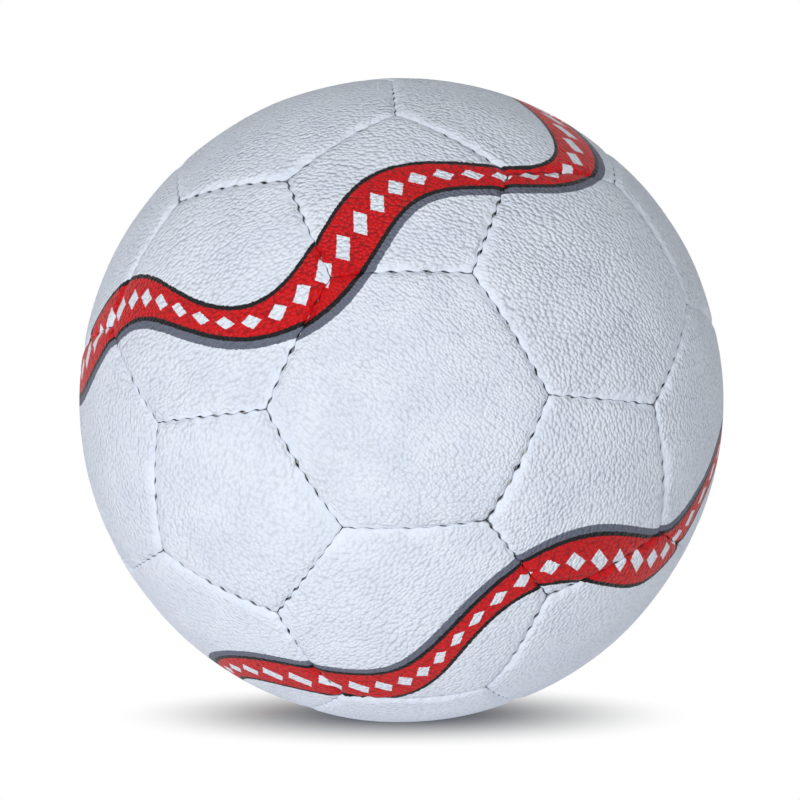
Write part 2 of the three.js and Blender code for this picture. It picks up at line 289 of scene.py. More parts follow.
class PanelKind:
    # Everything about a panel that doesn't depend on where on the ball it lies
    def __init__(self, sides, withHole=False):
        self.mesh = flatPanel(sides, withHole)
        self.sides = sides
        self.withHole = withHole
        count = len(self.mesh.vertices)
        flat = np.empty(count * 3)
        self.mesh.vertices.foreach_get("co", flat)
        flat = flat.reshape(-1, 3)
        self.layer = np.rint(-flat[:, 2]).astype(int)
        corner = cornerAngle[sides]
        self.sideAngle = math.atan(math.tan(corner) * math.cos(math.pi / sides))
        self.apothem = ball["radius"] * self.sideAngle
        side, out, along = sectorPlaces(flat, sides)
        row = np.rint(out * (panel["cuts"] + 1)).astype(int)
        fraction = rowFractions(self.apothem, withHole)[row]
        gap, thickness = panel["seamHalfGap"], panel["turnedEdgeThickness"]
        fraction[(self.layer == 2) | (self.layer == 3)] = 1 - (gap + thickness) / self.apothem
        fraction[self.layer == 4] = 0.5
        fraction[self.layer == 5] = 0
        azimuths = firstCorner[sides] + 2 * math.pi * np.arange(sides + 1) / sides
        corners = np.stack([
            math.sin(corner) * np.cos(azimuths),
            math.sin(corner) * np.sin(azimuths),
            np.full(sides + 1, math.cos(corner)),
        ], axis=1)
        sooner = np.sin((1 - along) * seamAngle)[:, None] * corners[side]
        edge = (sooner + np.sin(along * seamAngle)[:, None] * corners[side + 1]) / math.sin(seamAngle)
        roundness = 1 - softStep(0.25, 0.75, fraction)  # the rows turn from the outline to circles
        tilt = np.arccos(edge[:, 2]) * (1 - roundness) + self.sideAngle * roundness
        self.tilt = tilt * fraction
        self.azimuth = np.arctan2(edge[:, 1], edge[:, 0])
        self.way = np.stack([
            np.sin(self.tilt) * np.cos(self.azimuth),
            np.sin(self.tilt) * np.sin(self.azimuth),
            np.cos(self.tilt),
        ], axis=1)
        middles = firstCorner[sides] + 2 * math.pi * (np.arange(sides) + 0.5) / sides
        level, rise = math.cos(self.sideAngle), math.sin(self.sideAngle)
        outwards = np.stack([np.cos(middles), np.sin(middles)], axis=1)
        self.inwards = np.hstack([-level * outwards, np.full((sides, 1), rise)])
        self.sideMiddles = np.hstack([rise * outwards, np.full((sides, 1), level)])
        self.sideWays = np.stack([-np.sin(middles), np.cos(middles), np.zeros(sides)], axis=1)
        self.fromSeam = ball["radius"] * np.arcsin(self.way @ self.inwards.T)
        alongAngle = np.arctan2(self.way @ self.sideWays.T, self.way @ self.sideMiddles.T)
        self.alongSeam = ball["radius"] * alongAngle
        rounding = panel["cornerRounding"]
        nearest = -rounding * np.log(np.exp(-self.fromSeam / rounding).sum(axis=1))
        self.edgeDistance = np.clip(nearest, 0, None)

    def placed(self, turn):
        # The vertices' places on the ball, for a panel whose frame is turn
        radius = ball["radius"]
        way = self.way.copy()
        pulledDown = np.zeros(len(way))
        for k in range(self.sides):
            near = self.fromSeam[:, k] < 4 * stitching["reach"]
            along = self.alongSeam[near, k] / radius
            seamPlaces = np.cos(along)[:, None] * self.sideMiddles[k]
            seamPlaces += np.sin(along)[:, None] * self.sideWays[k]
            sideways, opening, pull = stitchPull(self.alongSeam[near, k], radius * seamPlaces @ turn.T)
            distance = self.fromSeam[near, k]
            hold = np.exp(-(distance / stitching["reach"]) ** 2)
            way[near] += (hold * (sideways + opening) / radius)[:, None] * self.inwards[k]
            pulledDown[near] += pull * np.exp(-(distance / stitching["puckerReach"]) ** 2)
        way = ballWarp(way / np.linalg.norm(way, axis=1)[:, None] @ turn.T)
        across = 1 - np.clip(self.edgeDistance / panel["rollWidth"], 0, 1)
        curl = 1 - np.clip(self.edgeDistance / panel["curlWidth"], 0, 1)
        height = -panel["rollDepth"] * across ** 2
        height -= panel["curlDepth"] * (1 - np.sqrt(1 - curl ** 2))
        crown = softStep(0, 0.8, self.edgeDistance / self.apothem)
        height += panel["pillow"] * (crown - panel["pillowBase"])
        height -= stitching["pucker"] * pulledDown
        height += panel["waves"] * waveNoise(way * radius, panel["waveLength"], panel["waveSeed"])
        if self.withHole:
            fromHole = radius * self.tilt - valveHole["radius"]
            inside = 1 - np.clip(fromHole / valveHole["roundWidth"], 0, 1)
            height -= valveHole["roundDepth"] * (1 - np.sqrt(1 - inside ** 2))
        out = np.where(self.layer == 0, radius + height, radius - panel["sheetThickness"])
        out = np.where((self.layer == 1) | (self.layer == 2), radius - panel["turnedEdgeDepth"], out)
        places = way * out[:, None]
        floor = ball["restingHeight"] + np.where(self.layer == 0, 0, panel["liningLift"])
        places[:, 2] = np.maximum(places[:, 2], floor)
        return places, way

    def unrolled(self, angle, shift):
        # Where each vertex lies on the flat sheet, turned as the panel was cut from it
        reach = ball["radius"] * self.tilt
        return np.stack([
            reach * np.cos(self.azimuth + angle) + shift[0],
            reach * np.sin(self.azimuth + angle) + shift[1],
        ], axis=1)


# Hand stitching doesn't meet the pattern exactly. For the corners at the front: the azimuth and elevation
# of the even pattern's corner in degrees, then how far east and north of it the real one lies, in mm
cornerShifts = [
    (-12.1, 21.0, -0.5, 0.5), (-10.4, -19.9, 0.2, -0.6), (14.3, -19.0, 0.9, -0.1), (12.9, 21.9, -0.6, 0.3),
    (25.0, 1.8, -0.3, -0.1), (-22.6, 0.1, 0.0, -1.1), (-26.4, 40.8, 0.3, -0.4), (-2.2, 58.4, 0.2, 0.5),
    (25.5, 42.7, -0.5, -0.8), (48.2, -0.3, -0.8, 0.2), (55.0, -22.6, 2.0, 0.0), (32.8, -35.6, -2.5, 2.8),
    (27.9, -58.7, 1.2, -0.3), (-18.9, -60.4, -1.6, -0.7), (-27.6, -37.8, 0.5, 0.4), (-51.4, -26.0, -0.5, 0.1),
    (-45.6, -3.4, 0.6, 0.4), (-55.8, 36.4, -0.7, 0.8), (56.4, 39.9, 2.7, 1.9), (63.5, 17.4, 0.7, -0.4),
    (-61.5, 13.7, -1.8, -0.7),
]

handwork = {
    "shiftReach": 24 * mm,  # how far round it the shift of a corner is felt
    "drift": 0.6 * mm,  # at the back, the pattern wanders by about this
    "driftLength": 70 * mm,
    "driftSeed": 21,
    "driftFrom": (-0.1, 0.5),  # from nothing to all of it, as shares of the way to the back
    "valveClear": (8 * mm, 30 * mm),  # and the same from the middle of the valve panel
}


def spreadOf(places, centres):
    apart = ((places[:, None] - centres[None]) ** 2).sum(axis=2)
    return np.exp(-apart / (2 * handwork["shiftReach"] ** 2))


def solveShifts():
    centres, moves = [], []
    for azimuth, elevation, east, north in cornerShifts:
        a, e = math.radians(azimuth), math.radians(elevation)
        way = Vector((math.sin(a) * math.cos(e), -math.cos(a) * math.cos(e), math.sin(e)))
        right = Vector((0, 0, 1)).cross(way).normalized()
        centres.append(way * ball["radius"])
        moves.append((right * east + way.cross(right) * north) * mm)
    centres, moves = np.array(centres), np.array(moves)
    return centres, np.linalg.solve(spreadOf(centres, centres), moves)


shiftCentres, shiftWeights = solveShifts()


def ballWarp(way):
    places = way * ball["radius"]
    length, seed = handwork["driftLength"], handwork["driftSeed"]
    drift = np.stack([waveNoise(places, length, seed + i) for i in range(3)], axis=1) * handwork["drift"]
    fromValve = ball["radius"] * np.arccos(np.clip(way @ np.array(valveAxis), -1, 1))
    free = softStep(*handwork["driftFrom"], way[:, 1]) * softStep(*handwork["valveClear"], fromValve)
    moved = places + drift * free[:, None] + spreadOf(places, shiftCentres) @ shiftWeights
    return moved / np.linalg.norm(moved, axis=1)[:, None]


def writeAttribute(mesh, name, kind, values):
    attribute = mesh.attributes.new(name, kind, "POINT")
    part = "vector" if kind == "FLOAT_VECTOR" else "value"
    attribute.data.foreach_set(part, np.ascontiguousarray(values, dtype=np.float32).ravel())


def dressed(name, mesh, node):
    # The finished piece, in the place of its CAD node
    piece = bpy.data.objects.new(name, mesh)
    bpy.context.scene.collection.objects.link(piece)
    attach(piece, "root")
    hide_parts(node)
    return piece


def skinPanel(node, kind, turn, source):
    mesh = kind.mesh.copy()
    mesh.name = node
    places, way = kind.placed(turn)
    mesh.vertices.foreach_set("co", places.astype(np.float32).ravel())
    mesh.shade_smooth()
    run = np.cross(turn[:, 2], panel["grainPole"])
    angle = math.pi / 2 - math.atan2(run @ turn[:, 1], run @ turn[:, 0])
    angle += source.normal() * panel["grainSpread"]
    shift = source.uniform(-0.5, 0.5, 2)  # metres, to another place on the sheet
    fineness = 1 + panel["frontFineness"] * softStep(0.8, 1.0, -turn[1, 2])
    sheet = kind.unrolled(angle, shift) * fineness
    corners = np.empty(len(mesh.loops), dtype=np.int32)
    mesh.loops.foreach_get("vertex_index", corners)
    layer = mesh.uv_layers.new(name="sheetPlace")
    layer.data.foreach_set("uv", sheet[corners].astype(np.float32).ravel())
    writeAttribute(mesh, "edgeDistance", "FLOAT", kind.edgeDistance)
    depth = ball["radius"] - np.linalg.norm(places, axis=1)
    writeAttribute(mesh, "depthBelow", "FLOAT", depth)
    pressed = panel["grainDepth"] + panel["grainSlope"] * turn[0, 2] + panel["lowGrain"] * min(turn[2, 2], 0)
    writeAttribute(mesh, "grainDepth", "FLOAT", np.full(len(places), pressed / fineness))
    # The print was made on the flat sheet, so it misses the next panel's by a millimetre or so
    slip = Matrix.Rotation(source.normal() * panel["printTurn"], 3, Vector(turn[:, 2]))
    tilt = Matrix.Rotation(source.normal() * panel["printTilt"], 3, Vector(turn[:, 0]))
    writeAttribute(mesh, "printPlace", "FLOAT_VECTOR", way @ np.array(slip @ tilt).T)
    mesh.update()
    return dressed(node.replace("panel", "skin"), mesh, node)


def makePanels():
    kinds = {5: PanelKind(5), 6: PanelKind(6), "valve": PanelKind(6, withHole=True)}
    source = np.random.default_rng(panel["grainSeed"])
    made = []
    for node in sorted(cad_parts):
        if "_panel" not in node:
            continue
        middle = nodeWay(node)
        axis = min(pentagonAxes + hexagonAxes, key=middle.angle)
        kind = kinds["valve"] if node == "valve_panel" else kinds[5 if axis in pentagonAxes else 6]
        made.append(skinPanel(node, kind, panelFrame(axis), source))
    print("panels:", len(made), "with", sum(len(p.data.polygons) for p in made), "faces")
    return made


skins = makePanels()

thread = {
    "radius": 0.42 * mm,
    "depth": 2.1 * mm,
    "rise": 1.15 * mm,  # at some stitches it comes up towards the opening
    "stepsPerStitch": 10,
    "endGap": 1.6 * mm,
    "shownFrom": (0.5, 1.3),  # the uneven value at which it starts to rise, and at which it is all up
    "shownLength": 7 * mm,
    "shownSeed": 8,
}


def seamThread():
    corners = []
    for a, b in itertools.permutations(pentagonAxes, 2):
        if a.angle(b) < neighbourAngle:
            corners.append(a.lerp(b, 1 / 3).normalized())
    curve = bpy.data.curves.new("stitchThread", "CURVE")
    curve.dimensions = "3D"
    curve.bevel_depth = thread["radius"]
    curve.bevel_resolution = 1
    curve.use_fill_caps = True
    radius = ball["radius"]
    half = radius * seamAngle / 2 - thread["endGap"]
    for start, end in itertools.combinations(corners, 2):
        if abs(start.angle(end) - seamAngle) > sameAngle:
            continue
        middle = np.array((start + end).normalized())
        direction = np.array((end - start).normalized())
        side = np.cross(middle, direction)
        count = stitching["perSeam"] * thread["stepsPerStitch"] + 1
        along = np.linspace(-half, half, count)
        way = np.cos(along / radius)[:, None] * middle + np.sin(along / radius)[:, None] * direction
        sideways, opening, pull = stitchPull(along, way * radius)
        way = ballWarp(way - (sideways / radius)[:, None] * side)
        uneven = waveNoise(way * radius, thread["shownLength"], thread["shownSeed"])
        shown = softStep(*thread["shownFrom"], uneven)
        out = radius - thread["depth"] + thread["rise"] * np.clip(pull, 0, 1) * shown
        spline = curve.splines.new("POLY")
        spline.points.add(count - 1)
        rows = np.hstack([way * out[:, None], np.ones((count, 1))])
        spline.points.foreach_set("co", rows.astype(np.float32).ravel())
    shape = bpy.data.objects.new("stitchThreadCurve", curve)
    bpy.context.scene.collection.objects.link(shape)
    mesh = bpy.data.meshes.new_from_object(shape.evaluated_get(bpy.context.evaluated_depsgraph_get()))
    bpy.data.objects.remove(shape)
    mesh.shade_smooth()
    print("thread:", len(mesh.polygons), "faces")
    return dressed("stitch_thread", mesh, "seam_thread")


stitchThread = seamThread()

# The bladder and the valve are turned shapes round the valve's axis

valve = {
    "top": 93.5 * mm,
    "length": 24 * mm,
    "neckRadius": 5.0 * mm,
    "pocketRadius": 3.5 * mm,
    "pocketFloor": 2.3 * mm,  # below the top
    "boreRadius": 2.5 * mm,
    "stemRadius": 4.2 * mm,
    "flangeRadius": 16 * mm,
    "flangeThickness": 1.0 * mm,
    "flangeClearance": 0.4 * mm,  # under the bladder
    "flangeLip": 0.6 * mm,
    "outletRadius": 1.0 * mm,
    "outletShelf": 2.0 * mm,
    "coreHeadRadius": 3.2 * mm,
    "coreHeadHeight": 2.0 * mm,
    "coreRadius": 2.2 * mm,
    "coreDome": 0.25 * mm,
    "coreShoulder": 0.1 * mm,
    "needleRadius": 0.6 * mm,
    "needleMouth": 1.3 * mm,
    "needleMouthDepth": 1.0 * mm,
    "needleDepth": 9.3 * mm,
    "needleTip": 0.4 * mm,
    "coreLength": 21.7 * mm,
    "segments": 64,
}

bladder = {
    "radius": 88.2 * mm,
    "wall": 1.0 * mm,
    "holeRadius": 5.3 * mm,
    "rings": 64,
    "segments": 96,
}


def turnedPiece(name, outline, segments, node, bevels=()):
    # outline is (radius, height) all the way round a section,
    # and bevels gives the corners to round, as (corner, width)
    bm = bmesh.new()
    verts = [bm.verts.new((radius, 0, height)) for radius, height in outline]
    closed = outline[0][0] > 0 and outline[-1][0] > 0
    pairs = list(zip(verts, verts[1:] + verts[:1])) if closed else list(zip(verts, verts[1:]))
    for a, b in pairs:
        bm.edges.new((a, b))
    for corner, width in bevels:
        bmesh.ops.bevel(
            bm, geom=[verts[corner]], offset=width, affect="VERTICES", segments=4, profile=0.5, material=-1,
        )
    bmesh.ops.spin(
        bm, geom=bm.verts[:] + bm.edges[:], cent=(0, 0, 0), axis=(0, 0, 1), angle=2 * math.pi,
        steps=segments, use_merge=True,
    )
    bmesh.ops.remove_doubles(bm, verts=bm.verts, dist=1e-6)
    bmesh.ops.recalc_face_normals(bm, faces=bm.faces)
    turn = Vector((0, 0, 1)).rotation_difference(valveAxis).to_matrix().to_4x4()
    bmesh.ops.transform(bm, matrix=turn, verts=bm.verts)
    mesh = bpy.data.meshes.new(name)
    bm.to_mesh(mesh)
    bm.free()
    mesh.shade_smooth()
    mesh.set_sharp_from_angle(angle=math.radians(50))
    print(name + ":", len(mesh.polygons), "faces")
    return dressed(name, mesh, node)


def arcOutline(radius, start, end, count):
    angles = np.linspace(start, end, count + 1)
    return [(max(radius * math.sin(a), 0), radius * math.cos(a)) for a in angles]


def makeBladder():
    outer, inner = bladder["radius"], bladder["radius"] - bladder["wall"]
    outside = arcOutline(outer, math.pi, math.asin(bladder["holeRadius"] / outer), bladder["rings"])
    inside = arcOutline(inner, math.asin(bladder["holeRadius"] / inner), math.pi, bladder["rings"])
    outside[0] = (0, -outer)
    inside[-1] = (0, -inner)
    return turnedPiece("air_bladder", outside + inside, bladder["segments"], "bladder")


def makeBoot():
    top, bottom = valve["top"], valve["top"] - valve["length"]
    under = bladder["radius"] - bladder["wall"] - valve["flangeClearance"]
    rim, lip = valve["flangeRadius"], valve["flangeRadius"] - valve["flangeLip"]
    lower = under - valve["flangeThickness"]
    outline = [(valve["stemRadius"], bottom)]
    for radius in np.linspace(valve["stemRadius"], lip, 8):
        outline.append((radius, math.sqrt(lower ** 2 - radius ** 2)))
    outline.append((rim, math.sqrt((lower + 0.4 * valve["flangeThickness"]) ** 2 - rim ** 2)))
    for radius in np.linspace(lip, valve["neckRadius"], 8):
        outline.append((radius, math.sqrt(under ** 2 - radius ** 2)))
    neckTop = len(outline)
    shelf = bottom + valve["outletShelf"]
    outline += [
        (valve["neckRadius"], top),
        (valve["pocketRadius"], top),
        (valve["pocketRadius"], top - valve["pocketFloor"]),
        (valve["boreRadius"], top - valve["pocketFloor"]),
        (valve["boreRadius"], shelf),
        (valve["outletRadius"], shelf),
        (valve["outletRadius"], bottom),
    ]
    bevels = [(neckTop, 0.5 * mm), (neckTop + 1, 0.4 * mm), (0, 0.5 * mm)]
    return turnedPiece("rubber_boot", outline, valve["segments"], "valve_boot", bevels)


def makeCore():
    top = valve["top"]
    head, dome = valve["coreHeadRadius"], valve["coreDome"]
    mouth = valve["needleMouth"]
    outline = [
        (0, top - valve["coreLength"]),
        (valve["coreRadius"], top - valve["coreLength"]),
        (valve["coreRadius"], top - valve["coreHeadHeight"]),
        (head, top - valve["coreHeadHeight"]),
        (head, top - valve["coreShoulder"]),
        ((head + mouth) / 2, top + dome * 0.7),
        (mouth, top + dome),
        (valve["needleRadius"], top - valve["needleMouthDepth"]),
        (valve["needleRadius"], top - valve["needleDepth"]),
        (0, top - valve["needleDepth"] - valve["needleTip"]),
    ]
    bevels = [(1, 0.6 * mm), (4, 0.5 * mm), (6, 0.35 * mm), (7, 0.3 * mm)]
    return turnedPiece("valve_plug", outline, valve["segments"], "valve_core", bevels)


airBladder = makeBladder()
rubberBoot = makeBoot()
valvePlug = makeCore()

# Materials


def feed(tree, socket, value):
    if isinstance(value, bpy.types.NodeSocket):
        tree.links.new(value, socket)
    else:
        socket.default_value = value


def nodeOf(tree, kind, inputs=None, **settings):
    node = tree.nodes.new(kind)
    for name, value in settings.items():
        setattr(node, name, value)
    for name, value in (inputs or {}).items():
        feed(tree, node.inputs[name], value)
    return node


def wired(tree, node, *values):
    # Feeds the node's inputs in their order
    for i, value in enumerate(values):
        feed(tree, node.inputs[i], value)
    return node.outputs[0]


def calc(tree, operation, *values):
    return wired(tree, nodeOf(tree, "ShaderNodeMath", operation=operation), *values)


def vectorCalc(tree, operation, *values):
    return wired(tree, nodeOf(tree, "ShaderNodeVectorMath", operation=operation), *values)


def scaledBy(tree, place, factor):
    return wired(tree, nodeOf(tree, "ShaderNodeVectorMath", {"Scale": factor}, operation="SCALE"), place)


def ramped(tree, value, low, high, first=0.0, last=1.0):
    inputs = {"Value": value, "From Min": low, "From Max": high, "To Min": first, "To Max": last}
    return nodeOf(tree, "ShaderNodeMapRange", inputs, interpolation_type="SMOOTHSTEP").outputs[0]


def mixedColour(tree, mask, first, second):
    node = nodeOf(tree, "ShaderNodeMix", data_type="RGBA")
    feed(tree, node.inputs[0], mask)
    feed(tree, node.inputs[6], first)
    feed(tree, node.inputs[7], second)
    return node.outputs[2]


def newGroup(name, inputs, outputs):
    tree = bpy.data.node_groups.new(name, "ShaderNodeTree")
    for label, kind, value in inputs:
        socket = tree.interface.new_socket(label, in_out="INPUT", socket_type=kind)
        if value is not None:
            socket.default_value = value
    for label, kind in outputs:
        tree.interface.new_socket(label, in_out="OUTPUT", socket_type=kind)
    return tree, tree.nodes.new("NodeGroupInput").outputs, tree.nodes.new("NodeGroupOutput").inputs


def placedGroup(tree, group, inputs):
    node = tree.nodes.new("ShaderNodeGroup")
    node.node_tree = group
    for name, value in inputs.items():
        feed(tree, node.inputs[name], value)
    return node.outputs


def srgb(red, green, blue):
    def linear(c):
        c /= 255
        return c / 12.92 if c <= 0.04045 else ((c + 0.055) / 1.055) ** 2.4
    return (linear(red), linear(green), linear(blue), 1)


value, vector = "NodeSocketFloat", "NodeSocketVector"


def driftAt(tree, place, scale, amount):
    # How far a noise of the given scale pushes the place
    noise = nodeOf(tree, "ShaderNodeTexNoise", {"Vector": place, "Scale": scale, "Detail": 1.0})
    centred = vectorCalc(tree, "SUBTRACT", noise.outputs["Color"], (0.5, 0.5, 0.5))
    return scaledBy(tree, centred, amount)


grainLook = {
    "width": 1.08 * mm,  # of one grain
    "length": 1.34 * mm,
    "sway": 4.0 * mm,  # the rows of grains wind by this
    "swayScale": 45.0,
    "wobble": 0.35 * mm,
    "wobbleScale": 500.0,
    "patchSize": 16 * mm,
    "randomness": 0.85,
    "smoothness": 0.35,
    "domePower": 1.4,
    "creaseFrom": (0.3, 0.7),  # from the middle of a grain, in grains
    "patchRange": (0.35, 0.62),
}


def grainGroup():
    # Small raised grains with creases between them, longer one way, as pressed into a synthetic leather
    tree, given, out = newGroup(
        "leatherGrain",
        [
            ("Place", vector, None),
            ("Grain Width", value, grainLook["width"]),
            ("Grain Length", value, grainLook["length"]),
            ("Sway", value, grainLook["sway"]),
            ("Wobble", value, grainLook["wobble"]),
            ("Patch Size", value, grainLook["patchSize"]),
        ],
        [("Height", value), ("Crease", value), ("Patches", value)],
    )
    moved = given["Place"]
    for scale, amount in (("swayScale", "Sway"), ("wobbleScale", "Wobble")):
        drift = driftAt(tree, given["Place"], grainLook[scale], given[amount])
        moved = vectorCalc(tree, "ADD", moved, drift)
    parts = nodeOf(tree, "ShaderNodeSeparateXYZ", {"Vector": moved}).outputs
    joined = nodeOf(tree, "ShaderNodeCombineXYZ", {
        "X": calc(tree, "DIVIDE", parts["X"], given["Grain Width"]),
        "Y": calc(tree, "DIVIDE", parts["Y"], given["Grain Length"]),
    })
    cells = nodeOf(
        tree, "ShaderNodeTexVoronoi",
        {
            "Vector": joined.outputs[0],
            "Scale": 1.0,
            "Randomness": grainLook["randomness"],
            "Smoothness": grainLook["smoothness"],
        },
        voronoi_dimensions="2D", feature="SMOOTH_F1",
    )
    sunk = calc(tree, "POWER", cells.outputs["Distance"], grainLook["domePower"])
    broad = scaledBy(tree, given["Place"], calc(tree, "DIVIDE", 1.0, given["Patch Size"]))
    patches = nodeOf(tree, "ShaderNodeTexNoise", {"Vector": broad, "Scale": 1.0, "Detail": 2.0})
    feed(tree, out["Height"], calc(tree, "SUBTRACT", 1.0, sunk))
    feed(tree, out["Crease"], ramped(tree, cells.outputs["Distance"], *grainLook["creaseFrom"]))
    feed(tree, out["Patches"], ramped(tree, patches.outputs[0], *grainLook["patchRange"]))
    return tree


bands = {
    "latitude": 0.62,  # radians from the belt's middle line
    "swing": 0.11,
    "waves": 5.0,
    "waveShift": 1.1,  # of the upper ribbon one way, and of the lower one the other
    "halfWidth": 0.058,
    "swell": 0.4,  # how much the ribbon widens and narrows
    "swellShift": 1.2,
    "outline": 0.0135,
    "shadow": 0.036,
    "diamonds": 66.0,  # round the ball
    "diamondSize": 0.5,
    "diamondNarrowing": 2.6,
    "crinkle": 0.006,  # the printed edges aren't quite clean
    "crinkleScale": 110.0,
    "softEdge": 0.0012,
    "roll": 24.0,  # degrees, how the belts lean
    "pitch": -8.0,
}


def bandsGroup():
    # Two wavy ribbons round the ball, with a dark outline, a grey shadow line and a row of diamonds
    tree, given, out = newGroup(
        "wavyRibbons",
        [
            ("Place", vector, None),
            ("Latitude", value, bands["latitude"]),
            ("Swing", value, bands["swing"]),
            ("Waves", value, bands["waves"]),
            ("Half Width", value, bands["halfWidth"]),
            ("Swell", value, bands["swell"]),
            ("Outline", value, bands["outline"]),
            ("Shadow", value, bands["shadow"]),
            ("Diamonds", value, bands["diamonds"]),
            ("Diamond Size", value, bands["diamondSize"]),
        ],
        [("Ribbon", value), ("Outline", value), ("Shadow", value), ("Diamond", value)],
    )
    leaning = nodeOf(tree, "ShaderNodeMapping", {
        "Vector": given["Place"],
        "Rotation": (math.radians(bands["pitch"]), math.radians(bands["roll"]), 0),
    })
    unit = vectorCalc(tree, "NORMALIZE", leaning.outputs[0])
    drift = driftAt(tree, unit, bands["crinkleScale"], bands["crinkle"])
    crinkled = vectorCalc(tree, "ADD", unit, drift)
    parts = nodeOf(tree, "ShaderNodeSeparateXYZ", {"Vector": crinkled}).outputs
    latitude = calc(tree, "ARCSINE", parts["Z"])
    longitude = calc(tree, "ARCTAN2", parts["Y"], parts["X"])
    half = calc(tree, "SIGN", latitude)
    shift = calc(tree, "MULTIPLY", half, bands["waveShift"])
    phase = calc(tree, "ADD", calc(tree, "MULTIPLY", longitude, given["Waves"]), shift)
    swung = calc(tree, "MULTIPLY", given["Swing"], calc(tree, "SINE", phase))
    middle = calc(tree, "ADD", given["Latitude"], swung)
    steepest = calc(tree, "MULTIPLY", given["Swing"], given["Waves"])
    rise = calc(tree, "MULTIPLY", steepest, calc(tree, "COSINE", phase))
    slope = calc(tree, "DIVIDE", rise, calc(tree, "COSINE", given["Latitude"]))
    even = calc(tree, "SQRT", calc(tree, "ADD", 1.0, calc(tree, "MULTIPLY", slope, slope)))
    across = calc(tree, "DIVIDE", calc(tree, "SUBTRACT", calc(tree, "ABSOLUTE", latitude), middle), even)
    later = calc(tree, "ADD", phase, bands["swellShift"])
    swelling = calc(tree, "MULTIPLY", given["Swell"], calc(tree, "SINE", later))
    width = calc(tree, "MULTIPLY", given["Half Width"], calc(tree, "ADD", 1.0, swelling))
    distance = calc(tree, "ABSOLUTE", across)
    soft = bands["softEdge"]
    feed(tree, out["Ribbon"], ramped(tree, calc(tree, "SUBTRACT", distance, width), soft, -soft))
    outlined = calc(tree, "SUBTRACT", distance, calc(tree, "ADD", width, given["Outline"]))
    feed(tree, out["Outline"], ramped(tree, outlined, soft, -soft))
    lower = calc(tree, "ABSOLUTE", calc(tree, "ADD", across, given["Shadow"]))
    feed(tree, out["Shadow"], ramped(tree, calc(tree, "SUBTRACT", lower, width), soft, -soft))
    turns = calc(tree, "MULTIPLY", longitude, calc(tree, "DIVIDE", given["Diamonds"], 2 * math.pi))
    cell = calc(tree, "SUBTRACT", calc(tree, "FRACT", turns), 0.5)
    beside = calc(tree, "MULTIPLY", calc(tree, "ABSOLUTE", cell), bands["diamondNarrowing"])
    sized = calc(tree, "MULTIPLY", width, given["Diamond Size"])
    diamond = calc(tree, "ADD", beside, calc(tree, "DIVIDE", distance, sized))
    feed(tree, out["Diamond"], ramped(tree, diamond, 1.04, 0.96))
    return tree


def mottleGroup():
    # Faint unevenness of tone, the same kind on skin, thread and rubber
    tree, given, out = newGroup(
        "mottle",
        [("Place", vector, None), ("Size", value, 10 * mm), ("Detail", value, 3.0)],
        [("Value", value)],
    )
    scaled = scaledBy(tree, given["Place"], calc(tree, "DIVIDE", 1.0, given["Size"]))
    noise = nodeOf(tree, "ShaderNodeTexNoise", {"Vector": scaled, "Scale": 1.0, "Detail": given["Detail"]})
    feed(tree, out["Value"], ramped(tree, noise.outputs[0], 0.3, 0.7))
    return tree


leatherGrain = grainGroup()
wavyRibbons = bandsGroup()
mottle = mottleGroup()


def newMaterial(name):
    material = bpy.data.materials.new(name)
    material.use_nodes = True
    tree = material.node_tree
    shader = tree.nodes["Principled BSDF"]
    return material, tree, shader


skin = {
    "white": srgb(220, 227, 238),
    "cool": srgb(213, 221, 234),
    "red": srgb(201, 10, 18),
    # painted shade: the red ink as it is darkened in the grain's creases
    "creaseShadedRed": srgb(96, 4, 12),
    "black": srgb(4, 4, 9),
    "grey": srgb(101, 106, 122),
    # painted shade, the colour given to the grain's creases and the seam grooves
    "groove": srgb(66, 68, 76),
    # painted shade, nearly black, deep inside the seam's openings
    "deepShade": srgb(14, 14, 17),
    "grainHeight": 0.9 * mm,
    # how strongly the grain's creases get painted shade
    "creaseTone": 0.08,
    "inkCrease": 0.45,
    "inkGloss": 0.7,
    "specular": 0.17,
    "roughness": (0.66, 0.5),  # in the creases, and on top of the grains
    "mottleSize": 14 * mm,
    "smoothBand": (4.2 * mm, 1.1 * mm),  # beside the seams the grain is stretched out
    "stretchedGrain": 0.3,
    "patchGrain": 0.85,
    "grooveDepth": (0.95 * mm, 1.25 * mm),  # painted shade in the seam groove, from this depth below the ball's surface
    "grooveTone": 0.8,
    "deepShadeDepth": (1.2 * mm, 1.6 * mm),
}


